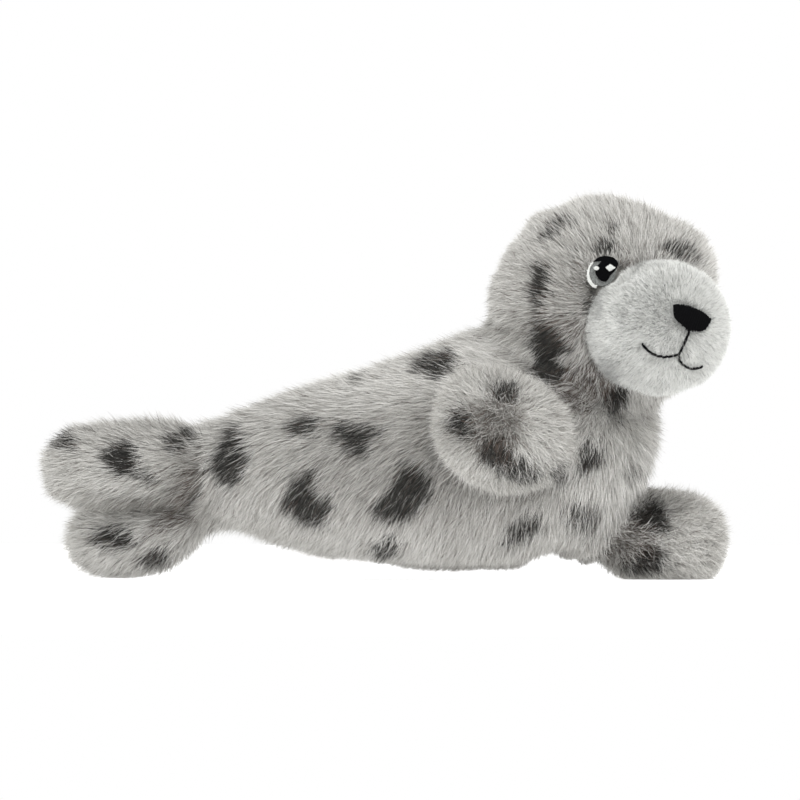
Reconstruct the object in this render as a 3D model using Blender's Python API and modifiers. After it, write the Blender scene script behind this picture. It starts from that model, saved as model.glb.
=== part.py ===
"""A stuffed toy seal that lies on its belly and looks round to its right.

Metres, +Z up, +X towards the head. The origin is on the surface it lies on, under
the middle of the belly, in the body's upright middle plane.
"""

from math import cos, pi, radians, sin, sqrt

import bmesh
import bpy
from mathutils import Matrix, Quaternion, Vector
from mathutils.bvhtree import BVHTree

SEAM_GAP = 0.0003  # between one sewn piece and the next
VIEW_TURN = radians(25)  # the coat's spots are laid out from this far round its right side

# Body, from the tail to the neck: each station is its keel point and its back point in
# the middle plane (x, z), and the half width between them
BODY_STATIONS = (
    ((-0.131, 0.038), (-0.131, 0.059), 0.011),
    ((-0.121, 0.030), (-0.122, 0.068), 0.021),
    ((-0.099, 0.023), (-0.102, 0.077), 0.029),
    ((-0.073, 0.015), (-0.078, 0.085), 0.039),
    ((-0.042, 0.004), (-0.050, 0.092), 0.049),
    ((-0.010, -0.002), (-0.024, 0.099), 0.056),
    ((0.030, -0.002), (-0.002, 0.107), 0.059),
    ((0.066, 0.012), (0.014, 0.112), 0.058),
    ((0.087, 0.038), (0.025, 0.116), 0.053),
    ((0.094, 0.066), (0.033, 0.119), 0.046),
    ((0.089, 0.088), (0.042, 0.123), 0.035),
)

HEAD_PLACE = Vector((0.0735, -0.001, 0.1238))
HEAD_LENGTH = 0.094
HEAD_WIDTH = 0.104
HEAD_HEIGHT = 0.095
HEAD_TURN = radians(-36.6)  # looks round to its right
HEAD_NOD = radians(-19)
HEAD_TILT = radians(18.4)  # crown leans to its left

HEAD_HALF = Vector((HEAD_LENGTH, HEAD_WIDTH, HEAD_HEIGHT)) / 2

MUZZLE_LENGTH = 0.045
MUZZLE_WIDTH = 0.066
MUZZLE_HEIGHT = 0.062
MUZZLE_SET = 0.004  # muzzle's centre in front of the head's front
MUZZLE_REACH = HEAD_HALF.x + MUZZLE_SET
MUZZLE_LIFT = 0.0059

NOSE_THICKNESS = 0.0012
MOUTH_THREAD = 0.0013  # width of the stitched line
FACE_SHIFT = -0.0013  # the nose and mouth are stitched a little to its right
EYE_TURN = radians(35.9)  # from the face's middle to each eye
EYE_LIFT = radians(23.2)
EYE_LAYER = 0.0005  # one layer of satin stitch
PATCH_CUT = 0.02  # how far a patch's outline block reaches to each side of its plane

RAISED_FLIPPER_WIDTH = 0.062
RAISED_FLIPPER_THICKNESS = 0.050
LYING_FLIPPER_WIDTH = 0.066
LYING_FLIPPER_THICKNESS = 0.043  # pressed flatter by the toy's weight
RIGHT_FRONT_ROOT = Vector((0.036, -0.034, 0.063))
RIGHT_FRONT_TIP = Vector((0.069, -0.095, 0.070))
RIGHT_FRONT_ROLL = radians(-25)  # its front edge is turned down
LEFT_FRONT_ROOT = Vector((0.044, 0.030, 0.021))
LEFT_FRONT_TIP = Vector((0.110, 0.046, 0.0170))
LEFT_FRONT_ROLL = 0.0

HIND_FLIPPER_WIDTH = 0.044
HIND_FLIPPER_THICKNESS = 0.038
RIGHT_HIND_ROOT = Vector((-0.104, -0.007, 0.0515))
RIGHT_HIND_TIP = Vector((-0.190, -0.030, 0.052))
LEFT_HIND_ROOT = Vector((-0.104, 0.010, 0.037))
LEFT_HIND_TIP = Vector((-0.198, 0.020, 0.0150))
HIND_ROLL = 0.0

# Share of the full section at each share of a flipper's length
FLIPPER_PROFILE = ((0.0, 0.72), (0.30, 0.86), (0.62, 1.0), (0.89, 0.86), (1.0, 0.44))
LOWER_LOBE_PROFILE = ((0.0, 0.45), (0.30, 0.78), (0.62, 1.0), (0.89, 0.90), (1.0, 0.50))

# The nose in the face's plane (across, up) from the muzzle's centre: its left corner, and
# from there the top and the lower edge to its middle; the other side mirrors it
NOSE_CORNER = (0.0103, 0.0151)
NOSE_TOP = ((0.0055, 0.0165), (0.0, 0.0169))
NOSE_LOWER = ((0.0093, 0.0120), (0.0077, 0.0099), (0.0038, 0.0086), (0.0, 0.0077))
MOUTH_FORK = -0.0042  # height at which the stitched line splits
GROOVE_SHIFT = 0.0008  # the line from the nose to the fork is off the middle by this
MOUTH_HALF = (
    (0.0023, -0.0063),
    (0.0052, -0.0078),
    (0.0085, -0.0084),
    (0.0116, -0.0082),
    (0.0143, -0.0073),
    (0.0168, -0.0059),
)

# Eye outlines in the eye's own plane (towards the nose, up)
EYE_BLACK = (
    (-0.0056, 0.0027),
    (-0.0043, 0.0055),
    (-0.0025, 0.0070),
    (0.0010, 0.0082),
    (0.0032, 0.0078),
    (0.0044, 0.0069),
    (0.0049, 0.0052),
    (0.0047, 0.0026),
    (0.0039, 0.0004),
    (0.0037, -0.0020),
    (0.0032, -0.0033),
    (0.0014, -0.0039),
    (-0.0009, -0.0032),
    (-0.0026, -0.0018),
    (-0.0032, 0.0006),
    (-0.0029, 0.0028),
    (-0.0026, 0.0042),
    (-0.0036, 0.0039),
    (-0.0047, 0.0031),
)
EYE_WHITE_MIDDLE = (-0.0003, -0.0003)
EYE_WHITE_HALF = (0.0062, 0.0077)
EYE_IRIS_MIDDLE = (0.0002, 0.0001)
EYE_IRIS_HALF = (0.0057, 0.0066)
EYE_WHITE_SPAN = (radians(158), radians(279))  # the crescent's two ends round the oval
EYE_WHITE_INSET = (radians(4), radians(8))  # its inner edge is shorter by this at each end
EYE_GLINT_LARGE = ((0.0006, 0.0021), (0.0018, 0.0045), (0.0044, 0.0040), (0.0028, 0.0013))
EYE_GLINT_SMALL = ((-0.0042, -0.0005), (-0.0035, 0.0009), (-0.0019, 0.0005), (-0.0026, -0.0009))

COLOURS = {
    "fur": (0.56, 0.55, 0.52),
    "spot": (0.045, 0.042, 0.038),
    "muzzle": (0.62, 0.63, 0.61),
    "black": (0.006, 0.006, 0.007),
    "iris": (0.20, 0.21, 0.20),
    "white": (0.85, 0.86, 0.84),
}

# Coat spots seen from VIEW_TURN: (along, height) of the middle and the two half sizes
SPOTS = {
    "body": (
        ((-0.103, 0.055), (0.007, 0.012)),
        ((-0.070, 0.071), (0.007, 0.004)),
        ((-0.046, 0.064), (0.010, 0.006)),
        ((-0.068, 0.034), (0.010, 0.011)),
        ((-0.024, 0.038), (0.011, 0.012)),
        ((-0.031, 0.014), (0.007, 0.004)),
        ((-0.010, 0.097), (0.009, 0.006)),
        ((0.029, 0.022), (0.009, 0.005)),
        ((0.057, 0.027), (0.008, 0.006)),
        ((0.059, 0.053), (0.005, 0.006)),
        ((0.072, 0.078), (0.005, 0.008)),
        ((0.041, 0.104), (0.007, 0.008)),
    ),
    "head": (
        ((0.036, 0.133), (0.005, 0.010)),
        ((0.045, 0.160), (0.008, 0.004)),
        ((0.068, 0.152), (0.003, 0.003)),
        ((0.101, 0.149), (0.008, 0.004)),
        ((0.041, 0.108), (0.006, 0.007)),
        ((0.062, 0.125), (0.003, 0.005)),
    ),
    "front_flipper_right": (
        ((0.022, 0.084), (0.006, 0.004)),
        ((0.003, 0.071), (0.005, 0.006)),
        ((0.019, 0.057), (0.009, 0.006)),
    ),
    "front_flipper_left": (
        ((0.089, 0.029), (0.008, 0.006)),
        ((0.089, 0.009), (0.008, 0.005)),
    ),
    "hind_flipper_right": (
        ((-0.153, 0.054), (0.008, 0.008)),
        ((-0.126, 0.064), (0.006, 0.005)),
        ((-0.176, 0.063), (0.005, 0.004)),
    ),
    "hind_flipper_left": (
        ((-0.155, 0.018), (0.008, 0.005)),
        ((-0.136, 0.008), (0.007, 0.004)),
    ),
}
SPOT_DEPTH = 1.5  # a spot's reach into the coat, as a share of its longer half size
HIDDEN_SPOT_SHIFT = (0.011, -0.005)  # the side away from the viewer has them moved by this

RING_SIDES = 8
SMOOTHING = 2
BALL_SEGMENTS = 32
GROOVE_STEPS = 4
SOFT_EDGE = radians(50)  # edges turned by less than this are shaded smooth
WELD = 0.000001


def cleared_scene():
    for thing in list(bpy.data.objects):
        bpy.data.objects.remove(thing, do_unlink=True)
    made = []
    for name in ("plush_seal", "cutters"):
        group = bpy.data.collections.new(name)
        bpy.context.scene.collection.children.link(group)
        made.append(group)
    return made


def plain_material(name, colour, roughness=0.9):
    material = bpy.data.materials.new(name)
    material.use_nodes = True
    shader = material.node_tree.nodes["Principled BSDF"]
    shader.inputs["Base Color"].default_value = (*colour, 1.0)
    shader.inputs["Roughness"].default_value = roughness
    shader.inputs["Metallic"].default_value = 0.0
    return material


def spotted_material(name, places):
    """Pale fur with a dark field round each place, given as (middle, half sizes)."""
    material = plain_material(name, COLOURS["fur"])
    nodes, links = material.node_tree.nodes, material.node_tree.links
    here = nodes.new("ShaderNodeTexCoord").outputs["Object"]
    nearest = None
    for middle, half in places:
        away = nodes.new("ShaderNodeVectorMath")
        away.operation = "SUBTRACT"
        away.inputs[1].default_value = middle
        links.new(here, away.inputs[0])
        shares = nodes.new("ShaderNodeVectorMath")
        shares.operation = "DIVIDE"
        shares.inputs[1].default_value = half
        links.new(away.outputs[0], shares.inputs[0])
        reach = nodes.new("ShaderNodeVectorMath")
        reach.operation = "LENGTH"
        links.new(shares.outputs[0], reach.inputs[0])
        found = reach.outputs["Value"]
        if nearest is not None:
            least = nodes.new("ShaderNodeMath")
            least.operation = "MINIMUM"
            links.new(nearest, least.inputs[0])
            links.new(found, least.inputs[1])
            found = least.outputs[0]
        nearest = found
    if nearest is None:
        return material
    edge = nodes.new("ShaderNodeValToRGB")
    edge.color_ramp.elements[0].position = 0.8
    edge.color_ramp.elements[0].color = (*COLOURS["spot"], 1.0)
    edge.color_ramp.elements[1].position = 1.0
    edge.color_ramp.elements[1].color = (*COLOURS["fur"], 1.0)
    links.new(nearest, edge.inputs["Fac"])
    links.new(edge.outputs["Color"], nodes["Principled BSDF"].inputs["Base Color"])
    return material


def add_object(name, mesh, group, matrix=None):
    made = bpy.data.objects.new(name, mesh)
    group.objects.link(made)
    if matrix is not None:
        made.matrix_world = matrix
    if group is cutters:
        made.hide_render = True
        made.display_type = "WIRE"
    return made


def shaded_smooth(mesh):
    mesh.shade_smooth()
    mesh.set_sharp_from_angle(angle=SOFT_EDGE)


def ring(middle, side, rise):
    """Cage points of an ellipse, set out so that the smoothed surface passes through it."""
    spread = 3 / (2 + cos(2 * pi / RING_SIDES))
    turns = (2 * pi * (i + 0.5) / RING_SIDES for i in range(RING_SIDES))
    return [middle + (side * cos(t) + rise * sin(t)) * spread for t in turns]


def smoothed_cage(name, rings, group):
    """A closed soft form: a cage through the rings, flat at both ends, subdivided."""
    shape = bmesh.new()
    loops = [[shape.verts.new(point) for point in points] for points in rings]
    for near, far in zip(loops, loops[1:]):
        for i in range(RING_SIDES):
            j = (i + 1) % RING_SIDES
            shape.faces.new((near[i], near[j], far[j], far[i]))
    shape.faces.new(loops[0])
    shape.faces.new(reversed(loops[-1]))
    bmesh.ops.recalc_face_normals(shape, faces=shape.faces)
    mesh = bpy.data.meshes.new(name)
    shape.to_mesh(mesh)
    shape.free()
    made = add_object(name, mesh, group)
    smooth = made.modifiers.new("stuffed_form", "SUBSURF")
    smooth.levels = SMOOTHING
    smooth.render_levels = SMOOTHING
    shaded_smooth(mesh)
    return made


def body_form(name, group, grow=0.0):
    rings = []
    for keel, back, half_width in BODY_STATIONS:
        low = Vector((keel[0], 0, keel[1]))
        high = Vector((back[0], 0, back[1]))
        rise = (high - low) / 2
        rise = rise * (1 + grow / rise.length)
        rings.append(ring((low + high) / 2, Vector((0, half_width + grow, 0)), rise))
    return smoothed_cage(name, rings, group)


def flipper_form(name, root, tip, roll, width, thickness, profile, group, grow=0.0):
    along = (tip - root).normalized()
    side = along.cross(Vector((0, 0, 1))).normalized()
    side.rotate(Quaternion(along, roll))
    rise = side.cross(along)
    rings = []
    for share, section in profile:
        half_width = width / 2 * section + grow
        half_thickness = thickness / 2 * section + grow
        rings.append(ring(root.lerp(tip, share), side * half_width, rise * half_thickness))
    return smoothed_cage(name, rings, group)


def head_frame():
    """The head's own axes: forward, to its left, up, with its centre as origin."""
    turned = Matrix.Rotation(HEAD_TURN, 4, "Z") @ Matrix.Rotation(-HEAD_NOD, 4, "Y")
    return Matrix.Translation(HEAD_PLACE) @ turned @ Matrix.Rotation(-HEAD_TILT, 4, "X")


def ball(name, place, half_sizes, group, grow=0.0):
    """An ellipsoid in the head's frame, grown by the same amount all round."""
    shape = bmesh.new()
    bmesh.ops.create_uvsphere(
        shape, u_segments=BALL_SEGMENTS, v_segments=BALL_SEGMENTS // 2, radius=1.0
    )
    bmesh.ops.rotate(shape, verts=shape.verts, matrix=Matrix.Rotation(pi / 2, 3, "Y"))
    bmesh.ops.scale(shape, verts=shape.verts, vec=[half + grow for half in half_sizes])
    bmesh.ops.translate(shape, verts=shape.verts, vec=place)
    bmesh.ops.transform(shape, verts=shape.verts, matrix=head_frame())
    mesh = bpy.data.meshes.new(name)
    shape.to_mesh(mesh)
    shape.free()
    shaded_smooth(mesh)
    return add_object(name, mesh, group)


def combine(target, other, operation="DIFFERENCE"):
    step = target.modifiers.new(f"{operation.lower()}_{other.name}", "BOOLEAN")
    step.operation = operation
    step.object = other


def plain_mesh(source, name):
    """The curve's solid as a welded mesh, in world coordinates."""
    bpy.context.view_layer.update()
    graph = bpy.context.evaluated_depsgraph_get()
    mesh = bpy.data.meshes.new_from_object(source.evaluated_get(graph))
    mesh.name = name
    shape = bmesh.new()
    shape.from_mesh(mesh)
    bmesh.ops.remove_doubles(shape, verts=shape.verts, dist=WELD)
    bmesh.ops.transform(shape, verts=shape.verts, matrix=source.matrix_world)
    bmesh.ops.recalc_face_normals(shape, faces=shape.faces)
    shape.to_mesh(mesh)
    shape.free()
    bpy.data.objects.remove(source, do_unlink=True)
    return mesh


def rounded_loop(points, per_span=3):
    """A closed smooth line through the points."""
    return smooth_run([points[-1], *points, *points[:2]], per_span)


def rounded_run(points, per_span=2):
    """A smooth line from the first point up to the last, which is left to the next run."""
    return smooth_run([points[0], *points, points[-1]], per_span)


def smooth_run(points, per_span):
    """A smooth line from the second point up to the last but one, which is left out."""
    found = []
    for quad in zip(points, points[1:], points[2:], points[3:]):
        a, b, c, d = (Vector(point) for point in quad)
        for step in range(per_span):
            t = step / per_span
            bend = (2 * a - 5 * b + 4 * c - d) * t * t + (3 * b - a - 3 * c + d) * t**3
            found.append(b + ((c - a) * t + bend) / 2)
    return found


def oval(middle, half, count=24, span=(0.0, 2 * pi)):
    first, last = span
    steps = count if last - first >= 2 * pi else count - 1
    turns = (first + (last - first) * i / steps for i in range(count))
    return [Vector((middle[0] + half[0] * cos(t), middle[1] + half[1] * sin(t))) for t in turns]


def prism(name, outline, depth, matrix):
    """A straight block with the given outline, reaching depth to each side of its plane."""
    curve = bpy.data.curves.new(name, "CURVE")
    curve.dimensions = "2D"
    curve.fill_mode = "BOTH"
    curve.extrude = depth
    line = curve.splines.new("POLY")
    line.points.add(len(outline) - 1)
    for point, (x, y) in zip(line.points, outline):
        point.co = (x, y, 0, 1)
    line.use_cyclic_u = True
    return plain_mesh(add_object(name, curve, cutters, matrix), name)


def stitched_patch(name, outline, matrix, grounds, group):
    """A patch of stitching: the outline's block kept between two grown copies of the form
    it is sewn to, so that it has one thickness and follows that form's curve."""
    patch = add_object(name, prism(name, outline, PATCH_CUT, matrix), group)
    inner, outer = grounds
    combine(patch, outer, "INTERSECT")
    combine(patch, inner)
    return patch


def eye_axes(side):
    """The eye's plane: its middle on the head, its first axis towards the nose."""
    flat = Vector((cos(EYE_TURN), side * sin(EYE_TURN), 0))
    out = flat * cos(EYE_LIFT) + Vector((0, 0, sin(EYE_LIFT)))
    reach = HEAD_HALF * out
    middle = (HEAD_HALF * reach) / reach.length
    up = (Vector((0, 0, 1)) - out * out.z).normalized()
    across = up.cross(out)
    if side > 0:
        across = -across
    axes = Matrix((across, up, across.cross(up))).transposed().to_4x4()
    return head_frame() @ Matrix.Translation(middle) @ axes


def head_grounds(low, high):
    return [ball("ground_head", (0, 0, 0), HEAD_HALF, cutters, grow) for grow in (low, high)]


def muzzle_ball(name, group, grow=0.0):
    half = (MUZZLE_LENGTH / 2, MUZZLE_WIDTH / 2, MUZZLE_HEIGHT / 2)
    return ball(name, (MUZZLE_REACH, 0, MUZZLE_LIFT), half, group, grow)


def on_muzzle(across, up, lift):
    """The muzzle's front at this place of the stitched face, raised by lift, in world axes."""
    across = across + FACE_SHIFT
    half_width = MUZZLE_WIDTH / 2 + lift
    half_height = MUZZLE_HEIGHT / 2 + lift
    share = 1 - (across / half_width) ** 2 - (up / half_height) ** 2
    forward = MUZZLE_REACH + (MUZZLE_LENGTH / 2 + lift) * sqrt(share)
    return head_frame() @ Vector((forward, across, MUZZLE_LIFT + up))


def stitched_line(name, points, group):
    curve = bpy.data.curves.new(name, "CURVE")
    curve.dimensions = "3D"
    curve.bevel_depth = MOUTH_THREAD / 2
    curve.bevel_resolution = 1
    curve.use_fill_caps = True
    line = curve.splines.new("POLY")
    line.points.add(len(points) - 1)
    for point, place in zip(line.points, points):
        point.co = (*place, 1)
    return add_object(name, plain_mesh(add_object(name, curve, cutters), name), group)


def add_body():
    body = body_form("body", parts)
    combine(body, ball("neck_seat", (0, 0, 0), HEAD_HALF, cutters, SEAM_GAP))
    combine(body, floor)
    return body


def add_head():
    head = ball("head", (0, 0, 0), HEAD_HALF, parts)
    combine(head, muzzle_ball("muzzle_seat", cutters, SEAM_GAP))
    return head


def add_flippers(body_seat):
    raised = (RAISED_FLIPPER_WIDTH, RAISED_FLIPPER_THICKNESS, FLIPPER_PROFILE)
    lying = (LYING_FLIPPER_WIDTH, LYING_FLIPPER_THICKNESS, FLIPPER_PROFILE)
    upper = (HIND_FLIPPER_WIDTH, HIND_FLIPPER_THICKNESS, FLIPPER_PROFILE)
    lower = (HIND_FLIPPER_WIDTH, HIND_FLIPPER_THICKNESS, LOWER_LOBE_PROFILE)
    layout = {
        "front_flipper_right": (RIGHT_FRONT_ROOT, RIGHT_FRONT_TIP, RIGHT_FRONT_ROLL, *raised),
        "front_flipper_left": (LEFT_FRONT_ROOT, LEFT_FRONT_TIP, LEFT_FRONT_ROLL, *lying),
        "hind_flipper_right": (RIGHT_HIND_ROOT, RIGHT_HIND_TIP, HIND_ROLL, *upper),
        "hind_flipper_left": (LEFT_HIND_ROOT, LEFT_HIND_TIP, HIND_ROLL, *lower),
    }
    made = {name: flipper_form(name, *sizes, parts) for name, sizes in layout.items()}
    for flipper in made.values():
        combine(flipper, body_seat)
        combine(flipper, floor)
    upper_seat = flipper_form("upper_seat", *layout["hind_flipper_right"], cutters, SEAM_GAP)
    combine(made["hind_flipper_left"], upper_seat)
    return made


def mirrored(points):
    return [(-x, y) for x, y in reversed(points)]


def nose_outline():
    top = [NOSE_CORNER, *NOSE_TOP]
    lower = [NOSE_CORNER, *NOSE_LOWER]
    over = rounded_run(top + mirrored(top[:-1]))
    under = rounded_run(lower + mirrored(lower[:-1]))
    return over + [Vector((-x, y)) for x, y in under]


def add_nose_and_mouth():
    low, high = SEAM_GAP, SEAM_GAP + NOSE_THICKNESS
    grounds = [muzzle_ball("ground_muzzle", cutters, grow) for grow in (low, high)]
    front = Matrix(((0, 0, 1), (1, 0, 0), (0, 1, 0))).to_4x4()
    middle = (MUZZLE_REACH + MUZZLE_LENGTH / 2, FACE_SHIFT, MUZZLE_LIFT)
    place = head_frame() @ Matrix.Translation(middle)
    nose = stitched_patch("nose", nose_outline(), place @ front, grounds, parts)

    lift = SEAM_GAP + MOUTH_THREAD / 2
    lips = [*mirrored(MOUTH_HALF), (GROOVE_SHIFT, MOUTH_FORK), *MOUTH_HALF]
    mouth = stitched_line("mouth", [on_muzzle(x, y, lift) for x, y in lips], parts)
    top = NOSE_LOWER[-1][1] - SEAM_GAP - MOUTH_THREAD / 2
    heights = [top + (MOUTH_FORK - top) * i / GROOVE_STEPS for i in range(GROOVE_STEPS + 1)]
    drop = [on_muzzle(GROOVE_SHIFT, height, lift) for height in heights]
    combine(mouth, stitched_line("lip_groove", drop, cutters), "UNION")
    return nose, mouth


def crescent():
    """The white of the eye: the oval's outer edge, and back along the grown iris."""
    inner_half = [half + SEAM_GAP for half in EYE_IRIS_HALF]
    first, last = EYE_WHITE_SPAN
    inner_span = (first + EYE_WHITE_INSET[0], last - EYE_WHITE_INSET[1])
    outer = oval(EYE_WHITE_MIDDLE, EYE_WHITE_HALF, 14, EYE_WHITE_SPAN)
    inner = oval(EYE_IRIS_MIDDLE, inner_half, 12, inner_span)
    return outer + inner[::-1]


def add_eye(name, side):
    """Three layers of stitching, one on the next: white and iris, black, two glints."""
    place = eye_axes(side)
    step = EYE_LAYER + SEAM_GAP
    layers = [head_grounds(SEAM_GAP + i * step, SEAM_GAP + i * step + EYE_LAYER) for i in range(3)]
    iris = oval(EYE_IRIS_MIDDLE, EYE_IRIS_HALF)
    made = {
        "white": stitched_patch(f"{name}_white", crescent(), place, layers[0], parts),
        "iris": stitched_patch(f"{name}_iris", iris, place, layers[0], parts),
        "black": stitched_patch(f"{name}_black", rounded_loop(EYE_BLACK), place, layers[1], parts),
    }
    glints = {"glint_large": EYE_GLINT_LARGE, "glint_small": rounded_loop(EYE_GLINT_SMALL, 2)}
    for label, outline in glints.items():
        made[label] = stitched_patch(f"{name}_{label}", outline, place, layers[2], parts)
    return made


def spot_places(target, spots):
    """Each spot's middle on the form's near and hidden side, with its sizes."""
    bpy.context.view_layer.update()
    graph = bpy.context.evaluated_depsgraph_get()
    surface = BVHTree.FromObject(target, graph)
    right = Vector((cos(VIEW_TURN), sin(VIEW_TURN), 0))
    away = Vector((-sin(VIEW_TURN), cos(VIEW_TURN), 0))
    found = []
    for (along, height), (half_length, half_height) in spots:
        depth = SPOT_DEPTH * max(half_length, half_height)
        for facing, shift in ((away, (0, 0)), (-away, HIDDEN_SPOT_SHIFT)):
            start = right * (along + shift[0]) + Vector((0, 0, height + shift[1])) - facing
            hit = surface.ray_cast(start, facing)[0]
            if hit is None:  # off the form's edge
                continue
            found.append((hit, (half_length / cos(VIEW_TURN), depth, half_height)))
    return found


def colour_parts(soft, muzzle, nose, mouth, eyes):
    for name, piece in soft.items():
        coat = spotted_material(f"{name}_fur", spot_places(piece, SPOTS[name]))
        piece.data.materials.append(coat)
    muzzle.data.materials.append(plain_material("short_fur", COLOURS["muzzle"]))
    black = plain_material("black_stitching", COLOURS["black"], 0.6)
    white = plain_material("white_stitching", COLOURS["white"], 0.6)
    iris = plain_material("grey_stitching", COLOURS["iris"], 0.6)
    for piece in (nose, mouth):
        piece.data.materials.clear()
        piece.data.materials.append(black)
    for eye in eyes:
        for layer, piece in eye.items():
            finish = {"black": black, "iris": iris}.get(layer, white)
            piece.data.materials.append(finish)


parts, cutters = cleared_scene()
block = bmesh.new()
bmesh.ops.create_cube(block, size=1.0)
bmesh.ops.translate(block, verts=block.verts, vec=(0, 0, -0.5))
floor_mesh = bpy.data.meshes.new("floor")
block.to_mesh(floor_mesh)
block.free()
floor = add_object("floor", floor_mesh, cutters)

body = add_body()
soft_parts = {"body": body, "head": add_head()}
soft_parts.update(add_flippers(body_form("body_seat", cutters, SEAM_GAP)))
muzzle = muzzle_ball("muzzle", parts)
nose, mouth = add_nose_and_mouth()
eyes = [add_eye("eye_right", -1), add_eye("eye_left", 1)]
colour_parts(soft_parts, muzzle, nose, mouth, eyes)
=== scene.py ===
from math import cos, radians, sin

import bmesh
import bpy
import numpy as np
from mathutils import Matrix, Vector
from mathutils.bvhtree import BVHTree


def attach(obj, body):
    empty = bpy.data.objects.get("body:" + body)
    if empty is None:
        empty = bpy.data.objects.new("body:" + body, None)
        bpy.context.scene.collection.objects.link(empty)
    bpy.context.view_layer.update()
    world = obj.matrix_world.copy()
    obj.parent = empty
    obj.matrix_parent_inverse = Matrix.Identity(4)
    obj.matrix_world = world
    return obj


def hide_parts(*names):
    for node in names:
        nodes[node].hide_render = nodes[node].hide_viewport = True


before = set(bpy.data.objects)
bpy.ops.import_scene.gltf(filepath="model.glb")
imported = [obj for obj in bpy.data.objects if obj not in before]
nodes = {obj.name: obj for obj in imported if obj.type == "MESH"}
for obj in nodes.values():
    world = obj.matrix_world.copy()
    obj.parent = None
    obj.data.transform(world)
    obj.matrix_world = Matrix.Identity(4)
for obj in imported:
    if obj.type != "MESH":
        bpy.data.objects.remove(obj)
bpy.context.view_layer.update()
print("frame loaded")

# The picture is taken from this far round the seal's right side, level with it and far away
view = dict(turn=radians(25), rise=0.0, distance=14.0, lens=1400, along=-0.0249, height=0.081)
viewRight = np.array((cos(view["turn"]), sin(view["turn"]), 0.0))
viewAway = np.array((-sin(view["turn"]), cos(view["turn"]), 0.0))

# The head's own axes and middle, and where the nose lies
headMiddle = np.array((0.0735, -0.001, 0.1238))
headForward = np.array((0.759, -0.564, -0.326))
headLeft = np.array((0.483, 0.823, -0.298))
headUp = np.array((0.436, 0.069, 0.897))
noseMiddle = headMiddle + headForward * 0.074 + headUp * 0.017

softNodes = (
    "body", "head", "muzzle",
    "front_flipper_right", "front_flipper_left", "hind_flipper_right", "hind_flipper_left",
)
stitchedNodes = [name for name in nodes if name not in softNodes]


def plainMesh(name, verts, faces):
    mesh = bpy.data.meshes.new(name)
    mesh.from_pydata([tuple(v) for v in verts], [], [tuple(f) for f in faces])
    mesh.update()
    return mesh


def addPiece(name, mesh):
    piece = bpy.data.objects.new(name, mesh)
    bpy.context.scene.collection.objects.link(piece)
    return piece


def mergedCopy(name):
    shape = bmesh.new()
    shape.from_mesh(nodes[name].data)
    bmesh.ops.remove_doubles(shape, verts=shape.verts, dist=0.00001)
    bmesh.ops.recalc_face_normals(shape, faces=shape.faces)
    shape.verts.index_update()
    verts = [v.co.copy() for v in shape.verts]
    faces = [[v.index for v in face.verts] for face in shape.faces]
    shape.free()
    return plainMesh(f"{name}_copy", verts, faces)


def treeOf(names):
    verts, faces = [], []
    for name in names:
        mesh = nodes[name].data
        start = len(verts)
        verts.extend(v.co.copy() for v in mesh.vertices)
        faces.extend([start + i for i in face.vertices] for face in mesh.polygons)
    return BVHTree.FromPolygons(verts, faces)


def nearest(tree, points):
    found = [tree.find_nearest(Vector(p)) for p in points]
    places = np.array([tuple(f[0]) for f in found])
    return places, np.array([f[3] for f in found])


def evaluated(piece):
    bpy.context.view_layer.update()
    graph = bpy.context.evaluated_depsgraph_get()
    return bpy.data.meshes.new_from_object(piece.evaluated_get(graph))


def vertexArrays(mesh):
    count = len(mesh.vertices)
    points = np.zeros(count * 3)
    normals = np.zeros(count * 3)
    mesh.vertices.foreach_get("co", points)
    mesh.vertex_normals.foreach_get("vector", normals)
    return points.reshape(-1, 3), normals.reshape(-1, 3)


def storeValues(mesh, name, values):
    kind = "FLOAT_VECTOR" if values.ndim == 2 else "FLOAT"
    layer = mesh.attributes.new(name, kind, "POINT")
    layer.data.foreach_set("vector" if values.ndim == 2 else "value", values.astype(np.float32).ravel())


def unit(rows):
    length = np.linalg.norm(rows, axis=-1, keepdims=True)
    return rows / np.maximum(length, 1e-9)


def softStep(low, high, values):
    share = np.clip((values - low) / (high - low), 0.0, 1.0)
    return share * share * (3 - 2 * share)


def addNode(tree, kind, values=None, **settings):
    made = tree.nodes.new(kind)
    for key, value in settings.items():
        setattr(made, key, value)
    for key, value in (values or {}).items():
        if isinstance(value, bpy.types.NodeSocket):
            tree.links.new(value, made.inputs[key])
        else:
            made.inputs[key].default_value = value
    return made


def newTree(name, source, inputs, result):
    tree = bpy.data.node_groups.new(name, "GeometryNodeTree")
    tree.interface.new_socket(name=source, in_out="INPUT", socket_type="NodeSocketGeometry")
    for label, kind in inputs:
        tree.interface.new_socket(name=label, in_out="INPUT", socket_type=kind)
    tree.interface.new_socket(name=result, in_out="OUTPUT", socket_type="NodeSocketGeometry")
    return tree, tree.nodes.new("NodeGroupInput").outputs


def endTree(tree, geometry, material):
    smooth = addNode(tree, "GeometryNodeSetShadeSmooth", {"Geometry": geometry}).outputs[0]
    finished = {"Geometry": smooth, "Material": material}
    addNode(tree, "NodeGroupOutput", {0: addNode(tree, "GeometryNodeSetMaterial", finished).outputs[0]})


def applyTree(piece, tree, values):
    maker = piece.modifiers.new(tree.name, "NODES")
    maker.node_group = tree
    for socket in tree.interface.items_tree:
        if socket.in_out == "INPUT" and socket.name in values:
            maker[socket.identifier] = values[socket.name]
    made = evaluated(piece)
    piece.modifiers.clear()
    piece.data = made
    return made


def sums(tree, operation, a, b=0.0):
    return addNode(tree, "ShaderNodeMath", {0: a, 1: b}, operation=operation).outputs[0]


def noiseAt(tree, position, scale, detail=1.0):
    return addNode(tree, "ShaderNodeTexNoise", {"Vector": position, "Scale": scale, "Detail": detail})


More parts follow.
